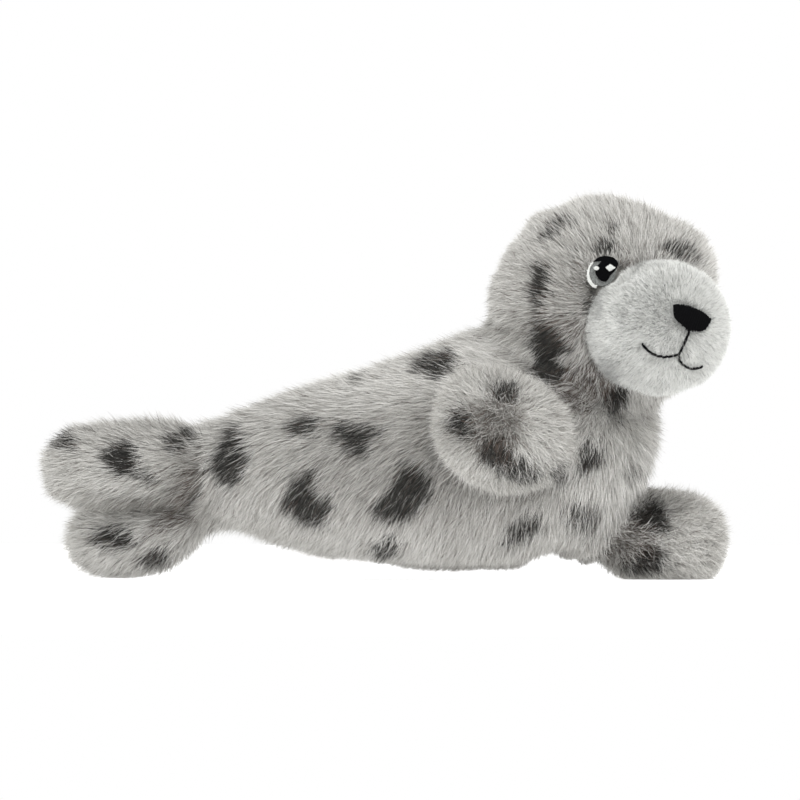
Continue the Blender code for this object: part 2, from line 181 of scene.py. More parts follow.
def vectors(tree, operation, a, b=None):
    values = {0: a}
    if operation == "SCALE":
        values["Scale"] = b
    elif b is not None:
        values[1] = b
    return addNode(tree, "ShaderNodeVectorMath", values, operation=operation).outputs[0]


# Fields of colour as they show from the camera, in millimetres: middle along and up from
# the origin, half length, half height, lean in degrees, strength. A field's place in its list
# sets how its edge waves. Those at a seam stand in both pieces' lists. Most are the coat's
# own spots; the head's field at (60, 127) is painted shade at the muzzle's edge below the eye
spotsAndShade = {
    "body": (
        (-101.5, 61, 5.8, 7.5, 0, 0.82),
        (-69.5, 69, 7.5, 4.4, 8, 0.84),
        (-46.3, 65.2, 10.5, 4.8, -4, 0.94),
        (-45.5, 60.6, 6, 4.8, -20, 0.94),
        (-69, 37, 7.5, 10.5, -8, 0.94),
        (-66, 31.5, 9.5, 7, -12, 0.94),
        (-22, 39, 8, 12.5, -22, 0.95),
        (-28, 32, 9.5, 5.5, 0, 0.95),
        (-31, 14, 7, 4, 10, 0.75),
        (-10, 97, 9.5, 5.5, 12, 0.9),
        (-45, 91, 4, 1.6, 20, 0.7),
        (29.5, 22, 9.5, 4.2, 32, 0.8),
        (57, 27, 8, 6.5, -20, 0.58),
        (60.5, 54, 5.8, 6, -30, 0.95),
        (47.5, 46.5, 3, 2.4, 0, 1.0),
        (72, 79, 4.4, 7.4, -14, 0.92),
        (86, 75, 1.2, 1.6, 0, 0.9),
        (80, 47, 3.4, 3, 0, 0.5),
        (41, 105.5, 8.5, 5.4, -25, 0.97),
        (39.5, 95, 7, 6.8, 0, 1.0),
        (-102.5, 50.5, 8, 8, 0, 0.94),
        (38.5, 111, 6.5, 5, -20, 0.7),
    ),
    "head": (
        (46, 160, 7, 2.6, 22, 0.62),
        (41.5, 156, 4.5, 2.6, 35, 0.66),
        (36.5, 133, 4.2, 10, -8, 0.95),
        (65.5, 152, 5.2, 3.2, 10, 0.75),
        (69, 159.5, 3.6, 2.4, -40, 0.5),
        (100, 149.5, 6.5, 3.2, -12, 0.75),
        (107.5, 146, 4.5, 2.2, -30, 0.5),
        (76, 139, 4, 4.5, 20, 0.5),
        # painted shade where the head's fur overhangs the muzzle, below the eye
        (60, 127, 4.2, 9, -8, 0.88),
        (70, 136.5, 6, 2.6, 30, 0.8),
        (41, 105.5, 8.5, 5.4, -25, 0.97),
        (39.5, 95, 7, 6.8, 0, 1.0),
        (72, 79, 4.4, 7.4, -14, 0.92),
        (38.5, 111, 6.5, 5, -20, 0.7),
    ),
    "front_flipper_right": (
        (22, 84.5, 6.3, 3.8, -12, 0.95),
        (2, 70, 4.4, 7, 25, 0.92),
        (17, 56.5, 7, 5, -22, 0.86),
        (28.5, 49.5, 8, 4.2, -12, 0.8),
        (45.5, 49.5, 3.5, 3, 0, 0.8),
    ),
    "front_flipper_left": (
        (88.5, 28.5, 8.5, 6.3, -25, 0.96),
        (86.5, 7.4, 9.5, 4.4, 24, 0.83),
    ),
    "hind_flipper_right": (
        (-151, 54.5, 7.6, 7.4, -35, 0.98),
        (-140, 46, 5, 2.8, -25, 0.7),
        (-125, 63, 6, 4.6, 20, 0.72),
        (-176, 63, 6, 4.3, -30, 0.75),
    ),
    "hind_flipper_left": (
        (-156, 18.5, 9, 5, -10, 0.95),
        (-136, 8, 6, 4.2, 15, 0.8),
    ),
    "muzzle": (),
}
# where the coat is mottled brown instead, laid out the same way
brownSpots = {
    "body": ((56, 86, 13, 10, 0, 0.55),),
    "head": ((56, 87, 12, 9, 0, 0.55), (80, 141, 8, 4, 25, 0.5), (45, 112, 10, 6, -20, 0.35)),
    "front_flipper_right": ((18, 58, 7.5, 5.5, -25, 0.92), (18, 70, 12, 11, 0, 0.26)),
    "front_flipper_left": ((76, 20, 13, 13, 0, 0.42),),
    "hind_flipper_right": ((-119, 40, 8, 10, 0, 0.45),),
    "hind_flipper_left": ((-126, 28, 14, 7, 20, 0.45),),
    "muzzle": ((86, 122, 13, 13, 0, 0.16), (96, 104, 8, 5, 0, 0.10)),
}
# the side away from the camera has them moved a little
hiddenSide = dict(shift=0.011, rise=-0.005)
# a field fades between these two shares of its half sizes, and its edge waves round it
spotEdge = dict(full=0.85, none=1.25, wide=0.13, narrow=0.08)


def spotCover(group, points, normals, fields):
    cover = np.zeros(len(points))
    facing = -(normals @ viewAway)
    along, height = points @ viewRight, points[:, 2]
    shown = (along, height, softStep(-0.15, 0.10, facing))
    weight = softStep(-0.20, -0.45, facing)
    hidden = (along - hiddenSide["shift"], height - hiddenSide["rise"], weight)
    for along, height, weight in (shown, hidden):
        for i, (middle, up, halfLength, halfHeight, lean, strength) in enumerate(fields[group]):
            right = along * 1000 - middle
            rise = height * 1000 - up
            turn = radians(lean)
            u = (right * cos(turn) + rise * sin(turn)) / halfLength
            v = (rise * cos(turn) - right * sin(turn)) / halfHeight
            angle = np.arctan2(v, u)
            wave = 1 + spotEdge["wide"] * np.sin(3 * angle + i * 1.7)
            wave = wave + spotEdge["narrow"] * np.sin(5 * angle + i * 2.9)
            fade = softStep(spotEdge["none"], spotEdge["full"], np.hypot(u, v) * wave)
            cover = np.maximum(cover, strength * weight * fade)
    return cover


# Broad lighter and darker areas, laid out as the spots are: middle, half sizes, change of tone. Some are
# the coat's own tone, others painted shade and painted light, marked below
tonesAndPaintedLight = {
    "body": (
        (-10, 4, 110, 24, 0.07), (-20, 52, 84, 30, -0.14), (70, 40, 30, 40, 0.09), (-60, 92, 60, 14, 0.06),
        (55, 88, 26, 14, 0.10), (36, 111, 11, 7, -0.12), (8, 104, 16, 10, 0.06),
        # (-114, 33) is painted shade where the tail meets the body
        (-114, 33, 9, 7, -0.14), (88, 68, 9, 13, 0.07), (-13, 77, 10, 8, -0.10), (30, 99, 9, 6, -0.10),
    ),
    "head": (
        (45, 125, 24, 34, -0.08), (58, 136, 10, 10, -0.05), (60, 92, 40, 14, 0.05), (70, 172, 50, 10, 0.03),
        # (24, 112) is painted shade under the head's fur where it meets the back
        (120, 138, 16, 18, 0.10), (24, 112, 14, 5, -0.10),
    ),
    # (0, 50) on the near flipper is a painted highlight on its lower left rim
    "front_flipper_right": ((18, 68, 36, 36, 0.12), (14, 68, 20, 17, -0.27), (0, 50, 16, 12, 0.06)),
    "front_flipper_left": (
        # (98, 2) lightens the flipper's underside as painted light against its shade
        (104, 26, 26, 24, 0.08), (78, 20, 16, 16, -0.04), (74, 7, 11, 9, 0.10), (98, 2, 36, 9, 0.10),
    ),
    # (-142, 33) on both hind flippers is painted shade in the crease between them
    "hind_flipper_right": ((-158, 52, 28, 24, 0.04), (-120, 46, 16, 16, -0.14), (-142, 33, 34, 5, -0.2)),
    "hind_flipper_left": (
        # (-118, 33) is painted shade where the tail meets the body
        (-150, 16, 32, 20, 0.08), (-118, 33, 12, 10, -0.10), (-121, 18, 12, 8, 0.08),
        # painted shade in the crease between the hind flippers
        (-142, 33, 34, 5, -0.25),
    ),
    "muzzle": (
        # (62.5, 128) is painted shade where the head's fur overhangs the muzzle's left edge
        (105, 85, 40, 16, -0.01), (104, 122, 8, 8, -0.06), (62.5, 128, 5.5, 14, -0.26),
        (81, 143, 11, 4.5, -0.22), (67, 90, 8, 13, -0.26),
    ),
}

# Where the skin lies deeper in its form, or less deep below 0, in millimetres
depths = {
    "body": (
        (-115, 68, 26, 12, -1.5), (-108, 20, 16, 12, 3.5), (-62, 10, 30, 10, 1.0), (56, 6, 24, 14, 6.5),
    ),
    "head": ((113, 156, 17, 26, -5.0), (22, 152, 18, 24, 2.6), (46, 170, 14, 10, 1.6)),
    "front_flipper_right": ((56, 66, 12, 30, 1.8),),
    "front_flipper_left": ((54, 6, 22, 17, 8.0),),
    "hind_flipper_right": ((-132, 70, 22, 12, -2.0), (-176, 36, 14, 8, -2.0), (-180, 54, 12, 26, 1.2)),
    "hind_flipper_left": ((-106, 16, 14, 16, 4.0), (-142, 8, 22, 10, -2.5)),
    "muzzle": ((73, 140, 14, 12, 4.0), (96, 82, 30, 9, 1.6), (74, 90, 13, 12, 2.5)),
}

# Where the pile is longer or cut shorter, as a share of its length
lengths = {
    "body": ((54, 6, 20, 13, -0.7), (16, 3, 18, 8, -0.3)),
    "front_flipper_left": ((56, 5, 14, 12, -0.5),),
    "muzzle": ((69, 138, 13, 11, -0.40),),
    "front_flipper_right": ((2, 94, 22, 14, 0.3), (46, 68, 12, 20, 0.2)),
}


def areaSum(areas, points, base):
    # an area counts in full near its middle and fades out a little past its half sizes
    total = np.full(len(points), base)
    along = points @ viewRight * 1000
    up = points[:, 2] * 1000
    for middle, height, halfLength, halfHeight, change in areas:
        away = np.hypot((along - middle) / halfLength, (up - height) / halfHeight)
        total += change * softStep(1.2, 0.3, away)
    return total


def bodyBrush(points):
    # back along the body, and down on its lower half
    low = np.clip((0.095 - points[:, 2]) / 0.055, 0, 1)
    front = np.clip((points[:, 0] + 0.02) / 0.08, 0, 1)
    back = 1 - low * (0.35 + 0.55 * front)
    return np.stack((-back, 0.15 * np.sign(points[:, 1]) * low, -0.95 * low), axis=1)


def headBrush(points):
    # away from the face, and down at the cheeks
    away = unit(points - (headMiddle + headForward * 0.03 - headUp * 0.004))
    droop = 0.12 + 0.6 * softStep(0.135, 0.105, points[:, 2])
    return away - np.outer(droop, (0, 0, 1))


def muzzleBrush(points):
    return unit(points - noseMiddle)


def flipperBrush(root, tip, outward, droop):
    # along the flipper and out from its axis
    axis = unit(np.array(tip) - np.array(root))

    def brush(points):
        away = points - np.array(root)
        across = away - np.outer(away @ axis, axis)
        wide = np.linalg.norm(across, axis=1)[:, None]
        across = unit(across) * np.clip(wide / 0.02, 0.0, 1.0)
        return axis * (1 - outward) + across * outward + np.array((0, 0, -droop))

    return brush


# Each coat: strands counts the hairs of each pile piece, sink is how deep the skin lies in its
# form, and grain is the skin's mesh size; lengths in metres
coats = {
    "body": dict(
        strands=(86000, 86000), length=0.0126, width=0.00019, sink=0.0034, rise=0.66, lean=0.78,
        spread=0.32, swirl=0.30, lump=0.0070, bend=0.22, curl=0.30, tone=0.75, mix=0.17, tufts=0.26,
        brush=bodyBrush, grain=0.0022,
    ),
    "head": dict(
        strands=(87000,), length=0.0102, width=0.00019, sink=0.0029, rise=0.78, lean=0.72,
        spread=0.36, swirl=0.30, lump=0.0055, bend=0.28, curl=0.34, tone=0.72, mix=0.17, tufts=0.28,
        brush=headBrush, grain=0.0020,
    ),
    "muzzle": dict(
        strands=(84000,), length=0.0050, width=0.00017, sink=0.0018, rise=0.85, lean=0.55,
        spread=0.46, swirl=0.45, lump=0.0045, bend=0.25, curl=0.4, tone=0.85, mix=0.12, tufts=0.38,
        brush=muzzleBrush, grain=0.0013,
    ),
    "front_flipper_right": dict(
        strands=(33000,), length=0.0114, width=0.00020, sink=0.0033, rise=0.80, lean=0.72,
        spread=0.44, swirl=0.38, lump=0.0045, bend=0.32, curl=0.55, tone=0.71, mix=0.15, tufts=0.24,
        brush=flipperBrush((0.036, -0.034, 0.063), (0.069, -0.095, 0.070), 0.75, 0.2), grain=0.0020,
    ),
    "front_flipper_left": dict(
        strands=(32000,), length=0.0112, width=0.00020, sink=0.0033, rise=0.78, lean=0.72,
        spread=0.44, swirl=0.38, lump=0.0050, bend=0.28, curl=0.5, tone=0.78, mix=0.20, tufts=0.38,
        brush=flipperBrush((0.044, 0.030, 0.021), (0.110, 0.046, 0.017), 0.45, 0.1), grain=0.0020,
    ),
    "hind_flipper_right": dict(
        strands=(22000,), length=0.0118, width=0.00020, sink=0.0034, rise=0.70, lean=0.78,
        spread=0.30, swirl=0.28, lump=0.0070, bend=0.22, curl=0.30, tone=0.74, mix=0.10, tufts=0.16,
        brush=flipperBrush((-0.104, -0.007, 0.0515), (-0.190, -0.030, 0.052), 0.35, 0.1), grain=0.0020,
    ),
    "hind_flipper_left": dict(
        strands=(20000,), length=0.0114, width=0.00020, sink=0.0034, rise=0.72, lean=0.76,
        spread=0.36, swirl=0.36, lump=0.0060, bend=0.26, curl=0.45, tone=0.77, mix=0.12, tufts=0.26,
        brush=flipperBrush((-0.104, 0.010, 0.037), (-0.198, 0.020, 0.015), 0.35, 0.1), grain=0.0020,
    ),
}
# Distances at which a coat changes beside a seam, by the floor and round the stitching
clearance = dict(
    seam=0.0016, seamEnd=0.006, floor=0.003, floorEnd=0.014, lowest=0.0002,
    stitching=0.0004, eye=0.002, eyeEnd=0.008, eyeBare=0.0018, eyeGrowth=0.0065,
)
# The belly's pile lies pressed: the shares of its length that the skin sinks and the pile loses
pressed = dict(sunk=0.35, lost=0.45)
leastPile = 0.08  # no strand grows where the pile is a smaller share of its length than this


def skinOf(name, grain):
    # the form as an even mesh, sunk under its surface except where it meets another piece
    coat = coats[name]
    source = addPiece(f"{name}_form", mergedCopy(name))
    even = source.modifiers.new("even", "REMESH")
    even.mode = "VOXEL"
    even.voxel_size = grain
    calm = source.modifiers.new("calm", "SMOOTH")
    calm.factor = 0.5
    calm.iterations = 4
    mesh = evaluated(source)
    bpy.data.objects.remove(source)
    points, normals = vertexArrays(mesh)
    seam = nearest(seamTrees[name], points)[1]
    free = softStep(clearance["seam"], clearance["seamEnd"], seam)
    low = softStep(clearance["floorEnd"], clearance["floor"], points[:, 2])
    under = softStep(0.0, 0.9, -normals[:, 2]) * low * (name == "body")
    sink = areaSum(depths[name], points, coat["sink"] * 1000) / 1000
    sink = sink + coat["length"] * pressed["sunk"] * under
    points = points - normals * (sink * free)[:, None]
    points[:, 2] = np.maximum(points[:, 2], clearance["lowest"])
    mesh.vertices.foreach_set("co", points.ravel())
    mesh.update()
    points, normals = vertexArrays(mesh)

    brush = coat["brush"](points)
    brush = brush - normals * np.sum(brush * normals, axis=1)[:, None]
    brush = brush / np.maximum(np.linalg.norm(brush, axis=1), 0.8)[:, None]
    pile = softStep(clearance["seam"] * 0.6, clearance["seam"] * 1.3, seam)
    pile = pile * (1 - pressed["lost"] * under)
    places, gap = nearest(stitchTree, points)
    towards = unit(places - points)
    meeting = np.sum(brush * towards, axis=1)
    if name == "head":
        # hairs round an eye lie away from it
        near = softStep(clearance["eyeEnd"], clearance["eye"], gap)
        brush = unit(brush * (1 - near)[:, None] - towards * near[:, None])
        pile *= np.clip((gap - clearance["eyeBare"]) / clearance["eyeGrowth"], 0.0, 1.0) ** 0.8
    else:
        # elsewhere a hair ends before it would cover the stitching
        room = np.clip((gap - clearance["stitching"]) / coat["length"], 0, 1)
        room = np.where(meeting > 0, room / np.maximum(meeting, 0.35), 0.45 + room * 1.5)
        room = np.where(gap < coat["sink"] + clearance["stitching"], 0.0, room)
        pile *= np.clip(room, 0.0, 1.0)
    pile *= areaSum(lengths.get(name, ()), points, 1.0)
    # colours are taken from where the middle of each hair shows, not from its root
    middle = points + (brush * 0.5 + normals * 0.36) * coat["length"]
    storeValues(mesh, "brush", brush)
    storeValues(mesh, "pile", pile)
    storeValues(mesh, "spot", spotCover(name, middle, normals, spotsAndShade))
    storeValues(mesh, "brown", spotCover(name, middle, normals, brownSpots))
    # the tone field carries the painted shade and painted light of those areas too
    storeValues(mesh, "tone", areaSum(tonesAndPaintedLight[name], middle, coat["tone"]))
    return mesh


def areaWithPile(mesh):
    pile = np.zeros(len(mesh.vertices), np.float32)
    mesh.attributes["pile"].data.foreach_get("value", pile)
    return sum(p.area for p in mesh.polygons if pile[p.vertices[0]] > leastPile)


def colourRamp(tree, fac, stops):
    ramp = addNode(tree, "ShaderNodeValToRGB", {"Fac": fac})
    elements = ramp.color_ramp.elements
    elements[0].position, elements[0].color = stops[0][0], (*stops[0][1], 1)
    elements[1].position, elements[1].color = stops[-1][0], (*stops[-1][1], 1)
    for position, colour in stops[1:-1]:
        elements.new(position).color = (*colour, 1)
    return ramp.outputs["Color"]


# The strands' shades from dark to light; the brown ones lie between 0.2 and 0.4
longColours = (
    (0.0, (0.012, 0.012, 0.011)),
    (0.10, (0.034, 0.033, 0.030)),
    (0.19, (0.14, 0.137, 0.125)),
    (0.215, (0.035, 0.024, 0.019)),
    (0.36, (0.165, 0.128, 0.108)),
    (0.41, (0.19, 0.185, 0.17)),
    (0.6, (0.43, 0.42, 0.395)),
    (0.8, (0.69, 0.68, 0.65)),
    (1.0, (0.90, 0.89, 0.86)),
)
backingColours = tuple(stop for stop in longColours if not 0.2 < stop[0] < 0.4)
shortColours = (
    (0.0, (0.06, 0.06, 0.06)),
    (0.36, (0.26, 0.262, 0.255)),
    (0.6, (0.50, 0.505, 0.49)),
    (0.8, (0.72, 0.725, 0.70)),
    (1.0, (0.88, 0.885, 0.86)),
)


def attribute(tree, name):
    return addNode(tree, "ShaderNodeAttribute", attribute_name=name).outputs["Fac"]


def newMaterial(name, roughness):
    material = bpy.data.materials.new(name)
    material.use_nodes = True
    shader = material.node_tree.nodes["Principled BSDF"]
    shader.inputs["Roughness"].default_value = roughness
    shader.inputs["Specular IOR Level"].default_value = 0.25
    return material, material.node_tree, shader


def pileMaterial(name, colours):
    # darker at the root and lighter at the tip: partly the hair's own colour, partly painted light for
    # light shining through the tips
    material, tree, shader = newMaterial(name, 0.7)
    colour = colourRamp(tree, attribute(tree, "shade"), colours)
    reach = attribute(tree, "reach")
    light = addNode(tree, "ShaderNodeMapRange", {"Value": reach, "To Min": 0.64, "To Max": 1.12}).outputs[0]
    tree.links.new(vectors(tree, "SCALE", colour, light), shader.inputs["Base Color"])
    return material


def skinMaterial(name, colours):
    # the backing and the pile's roots between the strands, in the coat's pattern and darker than the
    # strands as painted shade deep in the pile
    material, tree, shader = newMaterial(name, 0.95)
    here = addNode(tree, "ShaderNodeTexCoord").outputs["Object"]
    grain = noiseAt(tree, here, 900.0, 3.0).outputs["Fac"]
    tone = sums(tree, "SUBTRACT", attribute(tree, "tone"), 0.22)
    varied = sums(tree, "ADD", tone, sums(tree, "MULTIPLY", sums(tree, "SUBTRACT", grain, 0.5), 0.4))
    left = sums(tree, "SUBTRACT", 1.0, sums(tree, "MULTIPLY", attribute(tree, "spot"), 0.78))
    shade = sums(tree, "MULTIPLY", varied, left)
    tree.links.new(colourRamp(tree, shade, colours), shader.inputs["Base Color"])
    bump = addNode(tree, "ShaderNodeBump", {"Height": grain, "Strength": 0.6, "Distance": 0.0008})
    tree.links.new(bump.outputs["Normal"], shader.inputs["Normal"])
    return material


longPile = pileMaterial("long_pile_strands", longColours)
shortPile = pileMaterial("short_pile_strands", shortColours)
longBacking = skinMaterial("long_pile_backing", backingColours)
shortBacking = skinMaterial("short_pile_backing", shortColours)


coatSizes = ("Length", "Width", "Rise", "Lean", "Spread", "Swirl", "Lump", "Bend", "Curl", "Mix", "Tufts")
coatInputs = (
    ("Density", "NodeSocketFloat"),
    *((size, "NodeSocketFloat") for size in coatSizes),
    ("Seed", "NodeSocketInt"),
    ("Material", "NodeSocketMaterial"),
)
# How single strands vary: shares of length and width, then shades
strand = dict(
    length=(0.68, 1.12), width=(0.7, 1.3), brown=(0.22, 0.37), dark=(0.0, 0.16), plain=0.42,
    tuftScale=260.0, lowest=0.0003,
)


def namedField(tree, name, kind="FLOAT"):
    return addNode(tree, "GeometryNodeInputNamedAttribute", {"Name": name}, data_type=kind).outputs[0]


def randomNumber(tree, low, high, seed):
    made = addNode(tree, "FunctionNodeRandomValue", {2: low, 3: high, 8: seed}, data_type="FLOAT")
    return made.outputs[1]


def randomVector(tree, size, seed):
    made = addNode(
        tree, "FunctionNodeRandomValue",
        {0: (-size, -size, -size), 1: (size, size, size), 8: seed}, data_type="FLOAT_VECTOR",
    )
    return made.outputs[0]


def store(tree, geometry, name, value, kind="FLOAT", domain="POINT"):
    made = addNode(
        tree, "GeometryNodeStoreNamedAttribute",
        {"Geometry": geometry, "Name": name, "Value": value}, data_type=kind, domain=domain,
    )
    return made.outputs[0]


def buildCoatTree():
    tree, given = newTree("coat", "Skin", coatInputs, "Coat")
    seed = given["Seed"]
    position = addNode(tree, "GeometryNodeInputPosition").outputs[0]
    split = addNode(tree, "ShaderNodeSeparateXYZ", {0: position}).outputs

    # one strand: a flat blade of two triangles from its root at 0 to its tip at 1, bent once
    grid = {"Size X": 1.0, "Size Y": 1.0, "Vertices X": 2, "Vertices Y": 3}
    flat = addNode(tree, "GeometryNodeMeshGrid", grid).outputs["Mesh"]
    upward = sums(tree, "ADD", split["Y"], 0.5)
    middle = sums(tree, "LESS_THAN", sums(tree, "ABSOLUTE", split["Y"]), 0.25)
    across = sums(tree, "MULTIPLY", sums(tree, "MULTIPLY", split["X"], -1.0), middle)
    stood = addNode(tree, "ShaderNodeCombineXYZ", {"X": across, "Z": upward}).outputs[0]
    blade = addNode(tree, "GeometryNodeSetPosition", {"Geometry": flat, "Position": stood}).outputs[0]
    blade = addNode(tree, "GeometryNodeMergeByDistance", {"Geometry": blade, "Distance": 0.01}).outputs[0]
    blade = store(tree, blade, "reach", split["Z"])

    # its place and direction on the skin
    spread = addNode(
        tree, "GeometryNodeDistributePointsOnFaces",
        {"Mesh": given["Skin"], "Density": given["Density"], "Seed": seed},
    )
    normal = spread.outputs["Normal"]
    brush = namedField(tree, "brush", "FLOAT_VECTOR")
    pile = namedField(tree, "pile")
    lump = noiseAt(tree, position, sums(tree, "DIVIDE", 1.0, given["Lump"]))
    whirl = vectors(tree, "SUBTRACT", lump.outputs["Color"], (0.5, 0.5, 0.5))
    whirl = vectors(tree, "SCALE", whirl, sums(tree, "MULTIPLY", given["Swirl"], 3.0))
    stray = vectors(tree, "SCALE", randomVector(tree, 1.0, seed), given["Spread"])
    direction = vectors(tree, "SCALE", brush, given["Lean"])
    direction = vectors(tree, "ADD", direction, vectors(tree, "SCALE", normal, given["Rise"]))
    direction = vectors(tree, "ADD", direction, vectors(tree, "ADD", whirl, stray))
    turned = vectors(tree, "ADD", normal, randomVector(tree, 0.45, sums(tree, "ADD", seed, 5.0)))
    rotation = addNode(
        tree, "FunctionNodeAxesToRotation",
        {"Primary Axis": direction, "Secondary Axis": turned}, primary_axis="Z", secondary_axis="Y",
    ).outputs[0]
    varied = randomNumber(tree, *strand["length"], sums(tree, "ADD", seed, 1.0))
    length = sums(tree, "MULTIPLY", given["Length"], sums(tree, "MULTIPLY", pile, varied))
    varied = randomNumber(tree, *strand["width"], sums(tree, "ADD", seed, 2.0))
    width = sums(tree, "MULTIPLY", given["Width"], varied)

    # its tone: dark inside a spot, else the area's tone with tufts and single lighter strands
    tuft = noiseAt(tree, position, strand["tuftScale"], 2.0).outputs["Fac"]
    mixed = randomNumber(tree, -1.0, 1.0, sums(tree, "ADD", seed, 3.0))
    tone = sums(tree, "ADD", namedField(tree, "tone"), sums(tree, "MULTIPLY", mixed, given["Mix"]))
    tuft = sums(tree, "MULTIPLY", sums(tree, "SUBTRACT", tuft, 0.5), given["Tufts"])
    tone = sums(tree, "MAXIMUM", sums(tree, "ADD", tone, tuft), strand["plain"])
    chance = randomNumber(tree, 0.02, 1.05, sums(tree, "ADD", seed, 6.0))
    inBrown = sums(tree, "LESS_THAN", sums(tree, "SUBTRACT", 1.0, chance), namedField(tree, "brown"))
    inSpot = sums(tree, "LESS_THAN", chance, namedField(tree, "spot"))
    brown = randomNumber(tree, *strand["brown"], sums(tree, "ADD", seed, 4.0))
    dark = randomNumber(tree, *strand["dark"], sums(tree, "ADD", seed, 8.0))
    shade = addNode(tree, "ShaderNodeMix", {0: inBrown, 2: tone, 3: brown}, data_type="FLOAT").outputs[0]
    shade = addNode(tree, "ShaderNodeMix", {0: inSpot, 2: shade, 3: dark}, data_type="FLOAT").outputs[0]
    shade = addNode(tree, "ShaderNodeClamp", {"Value": shade, "Min": 0.02, "Max": 0.98}).outputs[0]

    # a strand bends down along the coat towards its tip
    sag = vectors(tree, "SUBTRACT", vectors(tree, "SCALE", brush, 0.5), normal)
    curl = vectors(tree, "SCALE", randomVector(tree, 1.0, sums(tree, "ADD", seed, 7.0)), given["Curl"])
    sag = vectors(tree, "ADD", sag, curl)
    sag = vectors(tree, "SCALE", sag, sums(tree, "MULTIPLY", length, given["Bend"]))
    points = store(tree, spread.outputs["Points"], "shade", shade)
    points = store(tree, points, "sag", sag, "FLOAT_VECTOR")
    size = addNode(tree, "ShaderNodeCombineXYZ", {"X": width, "Y": 1.0, "Z": length}).outputs[0]
    grown = addNode(
        tree, "FunctionNodeCompare", {"A": pile, "B": leastPile},
        data_type="FLOAT", operation="GREATER_THAN",
    ).outputs[0]
    placed = {"Points": points, "Selection": grown, "Instance": blade, "Rotation": rotation, "Scale": size}
    strands = addNode(tree, "GeometryNodeInstanceOnPoints", placed).outputs[0]
    real = addNode(tree, "GeometryNodeRealizeInstances", {"Geometry": strands}).outputs[0]
    reach = namedField(tree, "reach")
    sag = namedField(tree, "sag", "FLOAT_VECTOR")
    bent = vectors(tree, "SCALE", sag, sums(tree, "MULTIPLY", reach, reach))
    real = addNode(tree, "GeometryNodeSetPosition", {"Geometry": real, "Offset": bent}).outputs[0]
    height = sums(tree, "MAXIMUM", split["Z"], strand["lowest"])
    above = addNode(
        tree, "ShaderNodeCombineXYZ", {"X": split["X"], "Y": split["Y"], "Z": height},
    ).outputs[0]
    real = addNode(tree, "GeometryNodeSetPosition", {"Geometry": real, "Position": above}).outputs[0]
    up = addNode(tree, "ShaderNodeMapRange", {"Value": reach, "To Min": 0.02, "To Max": 0.98}).outputs[0]
    shade = namedField(tree, "shade")
    colourPlace = addNode(tree, "ShaderNodeCombineXYZ", {"X": shade, "Y": up}).outputs[0]
    real = store(tree, real, "OFBake", colourPlace, "FLOAT2", "CORNER")
    endTree(tree, real, given["Material"])
    return tree


coatTree = buildCoatTree()


def growCoat(label, skin, strands, coat, material, seed):
    piece = addPiece(label, skin.copy())
    values = {size: coat[size.lower()] for size in coatSizes}
    values.update(Density=strands / areaWithPile(skin), Seed=seed, Material=material)
    mesh = applyTree(piece, coatTree, values)
    mesh.name = label
    for extra in ("brush", "pile", "tone", "spot", "brown", "sag"):
        if extra in mesh.attributes:
            mesh.attributes.remove(mesh.attributes[extra])
    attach(piece, "root")
    print(label, len(mesh.polygons), "faces")
    return piece


seamTrees = {name: treeOf([other for other in softNodes if other != name]) for name in softNodes}
stitchTree = treeOf(stitchedNodes)

for order, name in enumerate(softNodes):
    coat = coats[name]
    short = name == "muzzle"
    source = skinOf(name, coat["grain"])
    cover = addPiece(f"{name}_cover", skinOf(name, max(coat["grain"] * 1.5, 0.0022)))
    cover.data.shade_smooth()
    cover.data.materials.clear()
    cover.data.materials.append(shortBacking if short else longBacking)
    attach(cover, "root")
    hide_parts(name)
    for layer, strands in enumerate(coat["strands"]):
        label = f"{name}_pile_{layer + 1}"
        material = shortPile if short else longPile
        pile = growCoat(label, source, strands, coat, material, 10 * order + 40 * layer + 3)
    bpy.data.meshes.remove(source)
print("coat grown")


def threadMaterial(name, dark, light, shine):
    # a thread's tone changes a little from stitch to stitch
    material, tree, shader = newMaterial(name, 0.55)
    here = addNode(tree, "ShaderNodeTexCoord").outputs["Object"]
    grain = noiseAt(tree, here, 2200.0).outputs["Fac"]
    tree.links.new(colourRamp(tree, grain, ((0.35, dark), (0.65, light))), shader.inputs["Base Color"])
    shader.inputs["Specular IOR Level"].default_value = shine
    return material


finishes = {
    "black": threadMaterial("black_thread", (0.0028, 0.0028, 0.0032), (0.004, 0.004, 0.0045), 0.02),
    "grey": threadMaterial("grey_thread", (0.10, 0.104, 0.10), (0.27, 0.28, 0.27), 0.1),
    "white": threadMaterial("white_thread", (0.55, 0.56, 0.53), (0.74, 0.75, 0.73), 0.1),
}


def finishOf(name):
    if name.endswith("iris"):
        return "grey"
    return "white" if "glint" in name or name.endswith("white") else "black"


def buildThreadTree():
    inputs = (("Radius", "NodeSocketFloat"), ("Material", "NodeSocketMaterial"))
    tree, given = newTree("threads", "Lines", inputs, "Threads")
    lines = addNode(tree, "GeometryNodeMeshToCurve", {"Mesh": given["Lines"]}).outputs[0]
    size = {"Resolution": 5, "Radius": given["Radius"]}
    rim = addNode(tree, "GeometryNodeCurvePrimitiveCircle", size).outputs[0]
    swept = {"Curve": lines, "Profile Curve": rim, "Fill Caps": True}
    tubes = addNode(tree, "GeometryNodeCurveToMesh", swept)
    real = addNode(tree, "GeometryNodeRealizeInstances", {"Geometry": tubes.outputs[0]}).outputs[0]
    endTree(tree, real, given["Material"])
    return tree


threadTree = buildThreadTree()


